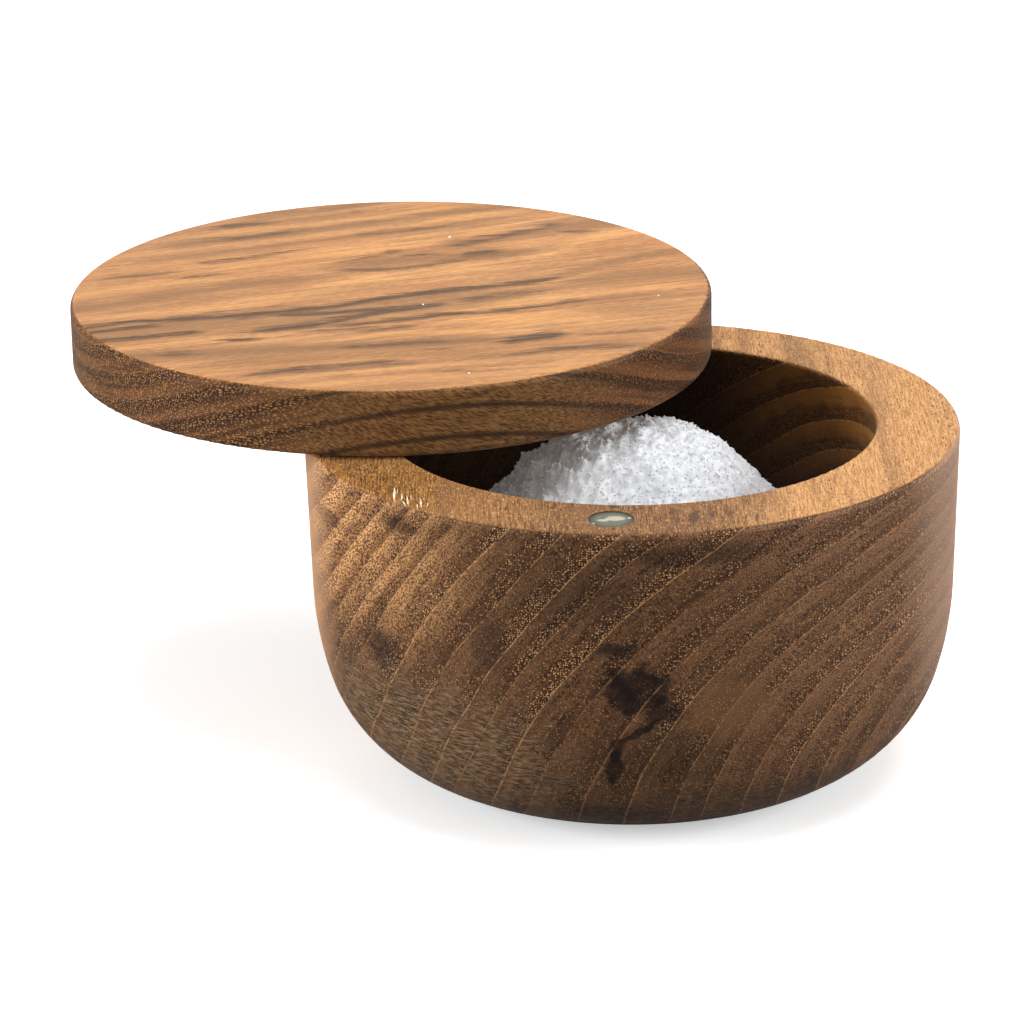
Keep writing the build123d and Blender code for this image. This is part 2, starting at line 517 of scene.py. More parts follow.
def make_bowl_wood():
    """Open-grained brown wood: golden pores on dark end grain, tan along the grain, with stains."""
    material, bench, shader = new_material("bowl_wood", 0.5, **oiled)
    position, normal = wood_position(bench)
    x, y, z = bench.apart(position)

    def front_blot(centre, reach, ragged, blotch, soft):
        """A stain as seen from the front, by its centre and its reach across and up."""
        return bench.blot(bench.together(x, 0.0, z), (centre[0], 0.0, centre[1]),
                          (reach[0], 1.0, reach[1]), ragged, blotch, soft)

    rings = bench.use("growth_rings", {"Position": position, "Heart X": bowl_heart_x,
                                       "Heart Z": bowl_heart_z, "Waver": 1.2})
    radius, angle = rings["Radius"], rings["Angle"]
    inner = bench.math("MAXIMUM", bench.less(ring_lean_radius, radius), 0.0)
    lean = bench.product(inner, bench.less(angle, ring_lean_angle), ring_lean)
    radius = bench.less(radius, lean)
    last = len(bowl_ring_radii) - 1
    reach = farthest_ring - nearest_ring
    points = [((ring - nearest_ring) / reach, index / last)
              for index, ring in enumerate(bowl_ring_radii)]
    share = bench.ramp(radius, nearest_ring, farthest_ring)
    count = bench.product(bench.curve(share, points, straight=True), float(last))
    phase = bench.math("FRACT", count)
    this_ring = bench.chance(bench.math("FLOOR", count))

    fuzz = bench.noise(position, 2.6, detail=3.0, roughness=0.7)
    edge_fuzz = bench.product(bench.less(fuzz, 0.5), 1.6,
                              bench.step(z, rim_height - 2.0, rim_height - 0.5))
    rough_normal = bench.vector("ADD", normal, bench.together(0.0, edge_fuzz, 0.0))
    end_grain = bench.use("grain_facing", {"Normal": bench.vector("NORMALIZE", rough_normal),
                                           "Grain": bowl_grain, "Along": 0.05,
                                           "Across": 0.36})["End Grain"]
    top = bench.step(bench.apart(normal)[2], 0.7, 0.95)
    end_grain = bench.product(end_grain, bench.less(1.0, top))

    # End grain
    cloud = bench.noise(bench.vector("MULTIPLY", position, (0.07, 0.03, 0.07)), detail=3.0)
    patch = bench.noise(bench.vector("MULTIPLY", position, (0.45, 0.05, 0.45)), detail=3.0)
    ringwise = bench.together(bench.product(radius, 1.1), bench.product(angle, 9.0),
                              bench.product(y, 0.02))
    layer = bench.noise(ringwise, detail=3.0, roughness=0.6)
    uneven = bench.product(bench.sum(patch, layer, -1.0), 0.7)
    drifted = bench.sum(phase, uneven)
    thinning = bench.product(bench.step(cloud, 0.62, 0.42, 0.3, 1.0), bench.step(z, 4.0, 30.0, 0.45, 1.0))
    dense = bench.product(bench.step(drifted, 0.72, 0.2), bench.ramp(this_ring, 0.0, 1.0, 0.35, 1.0),
                          thinning)
    late = bench.step(drifted, 0.2, 0.8)
    ground = bench.mix(late, end_dark, end_brown)
    ground = bench.mix(bench.step(layer, 0.35, 0.65), bench.mix(0.6, ground, tone(28, 19, 14)),
                       bench.mix(0.25, ground, tone(120, 84, 56)))
    ground = bench.glaze(ground, cloud, 0.4, 0.75, 0.3, tone(108, 75, 50))
    pale = front_blot((-46.0, 50.0), (36.0, 26.0), 0.25, 9.0, 0.9)
    pale = bench.product(pale, bench.step(layer, 0.2, 0.55, 0.55, 1.0))
    ground = bench.mix(bench.product(pale, 0.8), ground,
                       bench.mix(late, pale_end_dark, pale_end_light))

    # Fine lines in the end grain: along the rings at the left, across them at the right
    arc = bench.product(angle, arc_stretch)
    deep = bench.product(y, 0.12)
    ringwise = bench.noise(bench.together(bench.product(radius, 5.2), bench.product(arc, 3.1), deep),
                           detail=0.5)
    raywise = bench.noise(bench.together(bench.product(radius, 3.0), bench.product(arc, 6.4), deep),
                          detail=0.5)
    turned = bench.step(bench.sum(x, bench.swing(patch, 50.0)), -20.0, 20.0)
    maze = bench.step(bench.between(turned, ringwise, raywise), 0.42, 0.58)
    brown = bench.mix(late, tone(92, 62, 42), tone(124, 88, 60))
    brown = bench.mix(pale, brown, bench.mix(late, tone(160, 110, 68), tone(222, 166, 108)))
    rightward = bench.step(x, -5.0, 30.0)
    brown = bench.mix(bench.product(rightward, bench.less(1.0, pale), 0.8), brown,
                      bench.mix(late, tone(122, 86, 62), tone(156, 114, 84)))
    maze_share = bench.math("MAXIMUM", bench.between(pale, 0.62, 0.95), bench.product(rightward, 0.65))
    end = bench.mix(bench.product(maze, maze_share), ground, brown)

    golden = bench.math("MAXIMUM", dense, bench.product(pale, 0.5))
    coarse, ring_of = (
        bench.pores(position, end_pore_pitch, end_pore_dash, size, bench.between(golden, 0.2, 1.0),
                    end_pore_scatter) for size in (end_pore_size, dark_pore_size))
    dark_round = bench.product(dense, bench.less(1.0, bench.product(pale, 0.6)))
    end = bench.mix(bench.product(ring_of["Mask"], dark_round, 0.75), end, tone(34, 23, 17))
    gold = bench.mix(coarse["Shade"], gold_dark, gold_light)
    bright = bench.step(x, 45.0, 8.0, 0.8, 1.0)
    end = bench.mix(bench.product(coarse["Mask"], bench.between(golden, 0.35, 0.95), bright), end, gold)
    rays = bench.noise(bench.together(bench.product(angle, arc_stretch),
                                      bench.product(radius, 0.25), 0.0),
                       detail=1.0)
    end = bench.glaze(end, rays, 0.62, 0.75, 0.15, tone(170, 124, 82))
    broken = bench.noise(position, 0.9, detail=3.0)
    line = bench.product(bench.step(phase, 0.055, 0.01), bench.step(broken, 0.3, 0.6))
    strength = bench.math("MAXIMUM", bench.ramp(this_ring, 0.0, 1.0, 0.25, 0.85),
                          bench.product(pale, 0.9))

    # Stains on the front
    front = bench.step(y, bowl_front_depth + 10.0, bowl_front_depth)
    stains = []
    for centre, reach, darkness, ragged, blotch, soft in bowl_front_stains:
        stains.append(bench.product(front_blot(centre, reach, ragged, blotch, soft), darkness))
    crack_along = bench.ramp(z, 0.0, crack_frame)
    crack_line = bench.curve(crack_along, [(along / crack_frame, across / crack_frame + 0.5)
                                           for along, across in bowl_crack])
    crack_line = bench.math("MULTIPLY_ADD", crack_line, crack_frame, -crack_frame / 2)
    wander = bench.less(bench.noise(position, 0.7, detail=4.0), 0.5)
    crack = bench.use("streak", {
        "Along": z, "Across": bench.math("MULTIPLY_ADD", wander, crack_wander, x),
        "Line": crack_line, "Half Width": crack_half_width, "Start": crack_low, "End": crack_high,
        "Taper": crack_taper, "Strength": 1.0})["Mask"]
    stains.append(bench.math("MULTIPLY", crack, 2.0, clamp=True))
    stain = bench.product(bench.most(stains), front)
    end = bench.mix(bench.product(stain, bench.ramp(patch, 0.25, 0.6, 0.75, 1.0)), end, bowl_stain)
    soiled = front_blot((-30.0, 16.0), (32.0, 17.0), 0.5, 5.0, 0.6)
    smear = bench.noise(bench.together(bench.product(x, 0.35), 0.0, bench.product(z, 1.4)), detail=4.0)
    brushed = bench.noise(bench.together(bench.math("MULTIPLY_ADD", z, 0.5, bench.product(x, 0.6)),
                                         0.0, bench.product(z, 3.2)), detail=3.0)
    soiled = bench.product(soiled, front, bench.step(smear, 0.3, 0.6), 0.85)
    end = bench.mix(soiled, end, bench.graded(brushed, 0.35, 0.65, tone(50, 38, 30), tone(146, 118, 90)))
    scuffed = front_blot((14.0, 6.0), (36.0, 10.0), 0.6, 5.0, 0.7)
    scuffed = bench.product(scuffed, front, bench.step(smear, 0.35, 0.6), 0.75)
    end = bench.mix(scuffed, end, bench.graded(brushed, 0.35, 0.65, tone(38, 28, 22), tone(100, 80, 64)))
    end = bench.mix(bench.product(line, strength), end,
                    bench.mix(pale, tone(190, 138, 90), tone(226, 174, 122)))
    scoured = front_blot((21.0, 27.0), (9.0, 8.0), 0.5, 4.0, 0.6)
    end = bench.mix(bench.product(scoured, front, 0.45), end, tone(124, 88, 58))

    # Long grain
    flow = bench.together(bench.math("MULTIPLY_ADD", y, bowl_grain_lean, x), y, z)
    fibre = bench.fibres(flow, 0.3, 5.0, 4.0)
    fleck = bench.fibres(flow, 0.22, 1.1, 2.0)
    broad = bench.fibres(flow, 5.0, 60.0, 2.0)
    fibre = bench.between(0.25, fibre, fleck)
    along = bench.graded(fibre, 0.3, 0.68, long_grain_dark, long_grain_light)
    olive = bench.product(bench.step(x, 2.0, -38.0), bench.step(y, -8.0, -32.0))
    along = bench.mix(bench.product(olive, 0.9), along,
                      bench.graded(fibre, 0.35, 0.65, olive_dark, olive_light))
    middle = bench.product(bench.step(x, 34.0, 16.0), bench.step(x, -30.0, -4.0),
                           bench.step(y, -20.0, -36.0))
    along = bench.mix(bench.product(middle, 0.9), along,
                      bench.graded(fibre, 0.35, 0.65, tone(66, 42, 22), tone(146, 102, 62)))
    along = bench.glaze(along, broad, 0.46, 0.66, 0.6, tone(124, 84, 52))
    vessel = bench.pores(flow, 0.5, 4.0, 0.3, bench.between(dense, 0.12, 0.45), 1.0)
    along = bench.tint(along, vessel["Mask"], 0.8, tone(66, 40, 22))
    along = bench.glaze(along, fleck, 0.58, 0.7, 0.5, tone(238, 192, 140))
    along = bench.glaze(along, fleck, 0.42, 0.3, 0.4, tone(92, 60, 38))
    knot = bench.blot(position, (1.5, -42.2, rim_height), (1.1, 0.9, 3.0), 0.5, 0.8, 0.6)
    along = bench.tint(along, knot, 0.8, tone(60, 44, 36))
    checks = bench.most([
        bench.blot(position, (middle_x, middle_y, rim_height), (half_width, half_length, 3.0),
                   0.7, 0.9, 0.7)
        for middle_x, middle_y, half_width, half_length in bowl_rim_checks])
    along = bench.tint(along, checks, 0.8, tone(74, 50, 36))
    dark_line = bench.product(bench.step(phase, 0.1, 0.02), bench.step(broken, 0.4, 0.6))
    along = bench.tint(along, dark_line, 0.35, tone(110, 74, 46))

    side_on = bench.less(1.0, top)
    along = bench.mix(bench.product(side_on, 0.5), along, bench.mix(late, tone(96, 64, 43),
                                                                    tone(140, 98, 68)))
    colour = bench.mix(end_grain, along, end)
    # The inside wall is painted darker, partly as darker wood and partly as painted shade of the hollow.
    # The lit mask keeps a painted lit patch at the upper right, and lining_shadow paints shadow
    # everywhere else.
    out = bench.vector("LENGTH", bench.together(x, y, 0.0))
    within = bench.product(bench.step(out, inside_wall_radius + 0.3, inside_wall_radius),
                           bench.step(z, rim_height - 0.05, rim_height - 0.4))
    lit = bench.product(bench.step(x, 8.0, 40.0), bench.step(z, 30.0, 57.0))
    shaded_lining = bench.mix(late, lining_dark_shaded, lining_light_shaded)
    shaded_lining = bench.tint(shaded_lining, line, 0.8, tone(200, 144, 76))
    shaded_lining = bench.mix(bench.product(coarse["Mask"], golden, 0.5), shaded_lining, tone(190, 134, 70))
    shaded_lining = bench.mix(bench.step(fibre, 0.3, 0.7, 0.0, 0.35), shaded_lining, tone(150, 98, 44))
    shaded_lining = bench.mix(lit, lining_shadow, shaded_lining)
    colour = bench.tint(colour, within, 0.9, shaded_lining)
    # Painted sheen: the sides are painted paler where they curve away, at the left and at the right
    curving_away = bench.product(bench.less(1.0, top), bench.step(out, 50.0, 54.0))
    sheen_left_share = bench.product(curving_away, bench.step(x, -45.0, -53.5), 0.5)
    sheen_right_share = bench.product(curving_away, bench.step(x, 46.0, 54.0), 0.4)
    colour = bench.mix(sheen_left_share, colour, painted_sheen_left)
    colour = bench.mix(sheen_right_share, colour, painted_sheen_right)
    bench.feed(shader.inputs["Base Color"], colour)
    bench.feed(shader.inputs["Roughness"], bench.between(cloud, 0.42, 0.58))
    height = bench.less(bench.product(fibre, 0.3), bench.product(coarse["Mask"], 0.5))
    add_bump(bench, shader, height, bowl_relief)
    return material


# ---------------------------------------------------------------- lid wood

pin_centre = (0.0, 48.0, 0.0)
lid_swing = 71.0
lid_heart_x = 4.0
lid_heart_z = 139.0
lid_reach = 76.0  # the strokes are drawn in a square this far to every side
streak_softness = 1.35
stroke_stretch = 2.5
lid_grain_lean = 0.115
lid_grain_fan = 0.0019
lid_ring_width = 4.4
lid_pore_pitch = 0.38
lid_pore_size = 0.42
lid_relief = 0.0001
smoky_tone = tone(116, 83, 54)

# Each stroke: points (along the grain, across it) from left to right, reach to either side,
# strength and how long its ends taper
lid_streaks = (
    (((-66, 9.4), (-51, 7.7), (-46, 7.0), (-42, 7.8), (-37, 8.6)), 1.5, 0.98, 6),
    (((-66, 11.6), (-50, 10.7), (-44, 10.2), (-39, 8.8)), 1.4, 0.92, 5),
    (((-47, 8.4), (-32, 8.0), (-26, 8.4), (-18, 8.0), (-10, 6.6), (-3, 5.2), (6, 3.7), (14, 3.0),
      (22, 2.4), (28, 1.2), (36, -2.4)), 2.3, 0.98, 9),
    (((-36, 7.2), (-27, 8.8), (-18, 8.6)), 3.4, 0.8, 9),
    (((-40, 5.8), (-30, 6.0), (-20, 5.4), (-12, 4.6)), 1.6, 0.45, 9),
    (((-26, 9.2), (-18, 10.5), (-8, 10.8), (2, 11.0), (10, 10.6)), 1.8, 0.95, 7),
    (((-7, 11.4), (2, 11.2), (12, 10.6)), 2.8, 0.95, 7),
    (((4, 11.0), (14, 9.6), (24, 8.0), (34, 6.2)), 3.2, 0.62, 11),
    (((-32, 18.4), (-22, 17.4), (-14, 15.4), (-7, 13.4), (1, 12.0), (9, 11.4)), 2.1, 0.98, 8),
    (((-27, 17.7), (-19, 16.9), (-11, 15.2)), 3.0, 0.95, 7),
    (((-20, 17.6), (-10, 18.2), (0, 17.6), (8, 17.0), (15, 17.2), (21, 16.6), (29, 14.9),
      (38, 15.0)), 1.6, 0.9, 9),
    (((11, 17.1), (17, 17.0), (22, 16.4)), 2.0, 0.9, 4),
    (((-66, 17.6), (-48, 16.3), (-40, 15.8), (-31, 15.7)), 2.0, 0.95, 8),
    (((-35, 21.6), (-29, 22.2), (-23, 22.8)), 1.5, 0.85, 5),
    (((-14, 22.8), (-4, 22.2), (5, 21.4)), 1.8, 0.7, 7),
    (((-24, 20.0), (-12, 20.6), (-2, 20.2)), 1.0, 0.55, 6),
    (((9, 35.4), (14, 34.0), (20, 32.8), (27, 32.8)), 3.2, 1.0, 6),
    (((20, 33.0), (30, 33.8), (40, 34.4), (47, 34.6)), 1.5, 0.7, 9),
    (((-10, -13.0), (-4, -12.6), (0, -11.9), (6, -12.2), (12, -13.3), (19, -15.0)), 1.9, 0.7, 6),
    (((11, -16.4), (18, -17.4), (27, -18.4)), 2.8, 0.8, 6),
    (((-11, -16.2), (-6, -18.6), (0, -20.3), (6, -22.4), (10, -21.4)), 1.8, 0.62, 6),
    (((3, -18.6), (9, -19.2), (15, -17.4)), 1.3, 0.6, 5),
    (((11, -22.4), (18, -23.4), (25, -26.6), (33, -30.6), (42, -33.2)), 2.6, 0.75, 8),
    (((32, -28.0), (37, -26.6), (46, -25.2)), 1.8, 0.7, 6),
    (((-33, -36.1), (-23, -37.6), (-12, -39.0), (-3, -40.8)), 2.2, 0.75, 11),
    (((-37, 41.4), (-26, 40.6), (-12, 39.7), (-1, 40.2)), 2.0, 0.75, 9),
    (((-28, 42.2), (-14, 41.7), (1, 41.6)), 1.2, 0.6, 7),
    (((5, 41.6), (14, 41.2), (24, 40.6), (34, 41.8), (41, 41.0)), 2.1, 0.7, 10),
    (((-50, 25.8), (-40, 27.2), (-32, 28.4)), 3.0, 0.75, 9),
    (((-20, 28.8), (-9, 30.8), (0, 31.2), (10, 32.2)), 2.0, 0.75, 9),
    (((-3, 34.6), (6, 36.2)), 1.4, 0.55, 4),
    (((-5, 46.4), (5, 48.0), (13, 48.6)), 1.2, 0.55, 5),
    (((-22, 45.6), (-11, 45.2)), 0.9, 0.5, 5),
    (((3, 46.0), (12, 46.4), (23, 46.8)), 1.0, 0.5, 6),
    (((-37, -22.6), (-28, -24.4), (-20, -25.8), (-14, -27.6), (-5, -29.4)), 1.5, 0.7, 9),
    (((-54, -16.4), (-47, -19.4), (-40, -19.8), (-31, -20.5)), 2.2, 0.68, 9),
    (((-40, -15.4), (-30, -16.2), (-21, -17.1)), 1.7, 0.55, 7),
    (((-30, -43.9), (-20, -45.6), (-7, -46.4)), 2.2, 0.68, 9),
    (((-2, -48.7), (7, -49.4)), 1.8, 0.5, 5),
    (((-5, -33.5), (8, -35.0), (23, -36.5)), 1.6, 0.62, 9),
)

# The same for the broad smoky bands
lid_bands = (
    (((-44, -35.0), (-28, -36.8), (-10, -39.6), (6, -41.6), (20, -44.0), (34, -45.6), (44, -46.0)),
     4.0, 0.85, 14),
    (((-52, -24.4), (-38, -27.4), (-28, -29.4), (-16, -31.6), (0, -33.8), (16, -35.6), (34, -37.6)),
     2.8, 0.65, 16),
    (((-31, -44.0), (-18, -46.0), (-4, -47.4), (9, -49.8)), 3.2, 0.6, 12),
    (((-24, -49.6), (-6, -52.6), (14, -54.0)), 4.2, 0.8, 10),
    (((-70, -1.6), (-46, -4.6), (-36, -7.0), (-24, -9.6), (-12, -9.6), (-2, -11.0)), 6.0, 0.8, 16),
    (((-56, 1.2), (-42, 0.6), (-26, 0.0)), 2.2, 0.45, 10),
    (((-14, -14.6), (0, -16.2), (14, -16.8), (28, -16.2), (36, -17.0)), 6.4, 0.85, 14),
    (((6, -21.6), (20, -24.6), (30, -28.6), (40, -30.4), (66, -30.0)), 6.4, 0.9, 12),
    (((23, 2.8), (31, -0.4), (38, -4.4), (46, -8.0), (66, -14.0)), 4.0, 0.75, 12),
    (((22, 5.8), (34, 4.2), (44, 3.8), (74, 3.2)), 7.0, 0.75, 16),
    (((26, 14.8), (40, 15.2), (70, 16.6)), 3.0, 0.55, 12),
    (((22, 18.8), (38, 21.2), (56, 22.8)), 4.0, 0.5, 14),
    (((-64, 24.8), (-40, 27.2), (-26, 28.6), (-10, 30.6), (10, 32.2), (22, 33.2)), 5.2, 0.9, 14),
    (((-46, 33.2), (-24, 34.5), (0, 35.5), (18, 36.8)), 6.4, 0.6, 14),
    (((-40, 41.2), (-18, 40.6), (4, 41.2), (26, 40.4), (44, 40.6)), 3.2, 0.55, 14),
    (((12, 38.2), (26, 38.4), (42, 38.8)), 3.0, 0.4, 11),
    (((-74, 9.6), (-40, 11.4), (-18, 12.0), (4, 9.6), (30, 6.2)), 9.0, 0.72, 18),
)

# The same for the golden stripes between them
lid_lights = (
    (((-66, 2.6), (-40, 3.0), (-28, 2.0), (-18, -0.6), (-8, -4.6), (2, -8.0), (12, -10.2),
      (26, -12.4)), 5.2, 1.0, 14),
    (((-74, -9.4), (-48, -12.4), (-34, -13.6), (-18, -14.8)), 5.2, 0.8, 14),
    (((18, -12.2), (30, -14.4), (38, -19.4), (46, -23.0), (58, -24.8)), 4.4, 0.8, 12),
    (((-54, 9.4), (-46, 8.8), (-40, 8.9)), 1.0, 1.0, 3),
    (((-22, 9.7), (-10, 8.8), (0, 7.6), (10, 6.2), (22, 5.6)), 1.7, 0.3, 7),
    (((-30, 13.0), (-18, 12.6), (-11, 12.2)), 1.8, 0.5, 6),
    (((-12, 16.4), (0, 14.9), (12, 14.2), (22, 13.6), (29, 12.0), (40, 10.6), (56, 9.8)), 2.4,
     0.8, 10),
    (((-58, 13.6), (-40, 13.6), (-28, 14.2)), 1.8, 0.5, 8),
    (((-58, 20.0), (-48, 22.6), (-38, 21.0), (-26, 19.4)), 3.2, 0.85, 9),
    (((-34, 25.8), (-18, 24.6), (-6, 24.4), (2, 25.6), (10, 27.6), (26, 30.4)), 2.4, 0.75, 11),
    (((-2, 22.8), (12, 22.0), (26, 25.6), (46, 28.8)), 5.6, 0.8, 14),
    (((-46, 36.4), (-24, 37.4), (-6, 36.4), (14, 36.4)), 1.8, 0.45, 11),
    (((-36, 44.2), (-14, 43.8), (6, 43.8), (26, 43.6)), 2.2, 0.65, 11),
    (((-32, 48.0), (-10, 49.0), (4, 51.6), (26, 49.0)), 3.6, 0.75, 11),
    (((-40, -40.2), (-20, -41.6), (0, -44.2), (14, -46.6), (30, -49.4)), 2.8, 0.65, 12),
    (((-48, -30.8), (-28, -33.4), (-8, -36.4), (12, -38.8), (40, -41.2)), 2.6, 0.6, 12),
    (((-52, -22.0), (-34, -25.6), (-18, -29.2)), 1.8, 0.5, 9),
    (((-18, -23.6), (0, -25.6), (12, -29.0), (24, -31.4), (38, -36.6)), 4.8, 0.8, 12),
    (((-36, -18.2), (-20, -20.4), (-8, -22.4)), 3.4, 0.6, 11),
    (((11, -21.2), (18, -22.0), (27, -23.8)), 1.1, 0.75, 5),
)

# Tones of the lid: face, stripes, bands, streaks and rim
face_brown = tone(172, 119, 72)
face_tan = tone(206, 149, 94)
stripe_gold = tone(226, 166, 100)
band_smoke = tone(132, 94, 60)
streak_dark = tone(58, 42, 26)
streak_brown = tone(92, 66, 42)
rim_dark = tone(54, 33, 22)
rim_brown = tone(98, 63, 40)
rim_side_dark = tone(76, 50, 28)
rim_side_light = tone(134, 96, 58)
arch_dark = tone(44, 31, 24)


def make_lid_wood():
    """The same wood, sawn flat: streaks run along the disc, and its rim shows arches and pores."""
    material, bench, shader = new_material("lid_wood", 0.5, **oiled)
    position, normal = wood_position(bench, (pin_centre, lid_swing))
    across, along, up = bench.apart(position)

    tear = bench.fibres(position, 1.2, 9.0, 4.0)
    sway = bench.fibres(position, 9.0, 22.0, 1.0)
    feather = bench.fibres(position, 0.5, 9.0, 3.0)
    shift = bench.sum(bench.swing(tear, 2.0), bench.swing(sway, 1.5), bench.swing(feather, 2.6))
    drawn_across = bench.sum(across, shift)

    def share_of(length):
        return (length + lid_reach) / (2 * lid_reach)

    drawn_along = bench.math("MULTIPLY_ADD", shift, stroke_stretch, along)
    along_share = bench.ramp(drawn_along, -lid_reach, lid_reach)

    def drawn(strokes, widened=1.0):
        """Where any of the strokes lies. Each is taken up as soon as it is made."""
        deepest = 0.0
        for points, reach, strength, taper in strokes:
            line = bench.curve(along_share, [(share_of(a), share_of(b)) for a, b in points])
            line = bench.math("MULTIPLY_ADD", line, 2 * lid_reach, -lid_reach)
            mask = bench.use("streak", {
                "Along": drawn_along, "Across": drawn_across, "Line": line,
                "Half Width": reach * widened, "Start": float(points[0][0]),
                "End": float(points[-1][0]), "Taper": float(taper), "Strength": strength})["Mask"]
            deepest = bench.math("MAXIMUM", deepest, mask)
        return deepest

    figure = drawn(lid_streaks, streak_softness)
    shaded = drawn(lid_bands)
    lit = drawn(lid_lights)

    # The face
    lean = bench.math("MULTIPLY_ADD", across, -lid_grain_fan, lid_grain_lean)
    flow = bench.together(bench.math("MULTIPLY_ADD", along, lean, across), along, up)
    fibre = bench.fibres(flow, 0.32, 14.0, 3.0)
    band = bench.fibres(flow, 3.2, 45.0, 3.0)
    cloud = bench.noise(bench.vector("MULTIPLY", flow, (0.06, 0.02, 0.06)), detail=2.0)
    fleck = bench.fibres(flow, 0.24, 1.6, 2.0)
    mottle = bench.fibres(flow, 4.5, 26.0, 5.0)
    face = bench.graded(band, 0.3, 0.7, face_brown, face_tan)
    face = bench.glaze(face, cloud, 0.4, 0.7, 0.35, tone(200, 134, 84))
    face = bench.glaze(face, mottle, 0.46, 0.62, 0.35, tone(150, 104, 64))
    lit = bench.product(lit, bench.step(mottle, 0.72, 0.42, 0.55, 1.0))
    face = bench.tint(face, lit, 0.85, stripe_gold)
    strand = bench.fibres(flow, 0.75, 18.0, 4.0)
    face = bench.glaze(face, strand, 0.52, 0.66, 0.45, tone(136, 95, 63))
    face = bench.glaze(face, strand, 0.44, 0.34, 0.4, tone(230, 172, 110))
    smoke = bench.fibres(flow, 1.7, 30.0, 4.0)
    face = bench.glaze(face, smoke, 0.5, 0.66, 0.4, tone(136, 98, 68))
    left = bench.step(along, 10.0, -45.0)
    near = bench.step(across, 18.0, 46.0)
    face = bench.mix(bench.product(bench.math("MAXIMUM", left, near), 0.25), face, tone(162, 112, 75))
    face = bench.glaze(face, fibre, 0.48, 0.66, 0.4, tone(146, 102, 66))
    face = bench.glaze(face, fleck, 0.5, 0.68, 0.28, tone(138, 96, 64))
    face = bench.glaze(face, fleck, 0.5, 0.34, 0.25, tone(230, 176, 118))
    vessel = bench.pores(flow, 0.6, 4.0, 0.28, 0.35, 1.0)
    face = bench.tint(face, vessel["Mask"], 0.4, tone(120, 82, 54))
    hair = bench.sum(bench.swing(feather, 1.3), bench.swing(tear, 0.9), bench.swing(fleck, 0.8))
    shaded = bench.math("MULTIPLY_ADD", bench.product(hair, shaded), 0.8, shaded)
    face = bench.tint(face, shaded, 0.9, band_smoke)
    smoky = bench.step(bench.math("MULTIPLY_ADD", hair, 0.6, figure), 0.0, 0.9)
    core = bench.step(bench.sum(figure, bench.product(hair, 0.9)), 0.4, 1.1)
    there = bench.step(figure, 0.0, 0.2)
    dark = bench.graded(fibre, 0.35, 0.65, streak_dark, streak_brown)
    face = bench.mix(bench.product(smoky, there, 0.85), face, smoky_tone)
    face = bench.mix(bench.product(core, there, 0.9), face, dark)

    # The rim
    rings = bench.use("growth_rings", {"Position": position, "Heart X": lid_heart_x,
                                       "Heart Z": lid_heart_z, "Waver": 0.6})
    radius = rings["Radius"]
    phase = bench.math("FRACT", bench.math("DIVIDE", radius, lid_ring_width))
    end_grain = bench.use("grain_facing", {"Normal": normal, "Grain": (0, 1, 0), "Along": 0.2,
                                           "Across": 0.65})["End Grain"]
    dense = bench.step(phase, 0.5, 0.2)
    coarse = bench.pores(position, lid_pore_pitch, 7.0, lid_pore_size,
                         bench.between(dense, 0.8, 1.0), 0.8)
    layer = bench.noise(bench.together(bench.product(radius, 0.9), bench.product(across, 0.05),
                                       bench.product(along, 0.02)), detail=3.0)
    end = bench.graded(phase, 0.2, 0.8, rim_dark, rim_brown)
    end = bench.glaze(end, layer, 0.45, 0.65, 0.6, tone(40, 26, 18))
    gold = bench.mix(coarse["Shade"], tone(112, 76, 44), tone(188, 138, 84))
    shown = bench.product(bench.step(layer, 0.7, 0.4, 0.4, 0.9), bench.step(along, 34.0, 8.0, 0.45, 1.0))
    end = bench.mix(bench.product(coarse["Mask"], shown), end, gold)
    slanted = bench.together(across, along, bench.math("MULTIPLY_ADD", along, 0.45, up))
    chip = bench.fibres(slanted, 0.26, 1.5, 2.0)
    side_grain = bench.between(0.7, fibre, chip)
    side = bench.graded(side_grain, 0.36, 0.64, rim_side_dark, rim_side_light)
    arch = bench.step(bench.math("ABSOLUTE", bench.less(phase, 0.16)), 0.16, 0.02)
    side = bench.tint(side, arch, 0.8, arch_dark)
    rim = bench.mix(end_grain, side, end)

    fuzz = bench.product(bench.less(bench.noise(position, 2.6, detail=3.0), 0.5), 0.35)
    lying = bench.sum(bench.math("ABSOLUTE", bench.apart(normal)[2]), fuzz)
    flat = bench.step(lying, 0.72, 0.92)
    bench.feed(shader.inputs["Base Color"], bench.mix(flat, rim, face))
    bench.feed(shader.inputs["Roughness"], bench.between(cloud, 0.42, 0.6))
    height = bench.less(bench.product(fibre, 0.35), bench.product(vessel["Mask"], 0.4))
    add_bump(bench, shader, height, lid_relief)
    return material


# ---------------------------------------------------------------- metal, epoxy and salt

magnet_centre = (1.68, -47.97, 58.4)
# Pale smears on the magnet, centre and reach: the big one over its middle is a painted reflection, the
# small ones dried glue
glue_and_glare_smears = (
    ((2.2, -47.4, 58.4), (1.9, 1.3, 5.0)),
    ((0.4, -48.4, 58.4), (1.1, 0.6, 5.0)),
    ((-1.2, -50.0, 58.4), (0.5, 0.5, 5.0)),
    ((4.4, -47.0, 58.4), (0.35, 0.5, 5.0)),
)
# Tones of the magnets' plating and of the pale smears on it, glue and painted reflection
plating_dark = tone(78, 78, 64)
plating_light = tone(146, 144, 124)
plating_edge_tone = tone(72, 78, 66)
glue_and_glare_dark = tone(150, 145, 124)
glue_and_glare_light = tone(206, 199, 176)


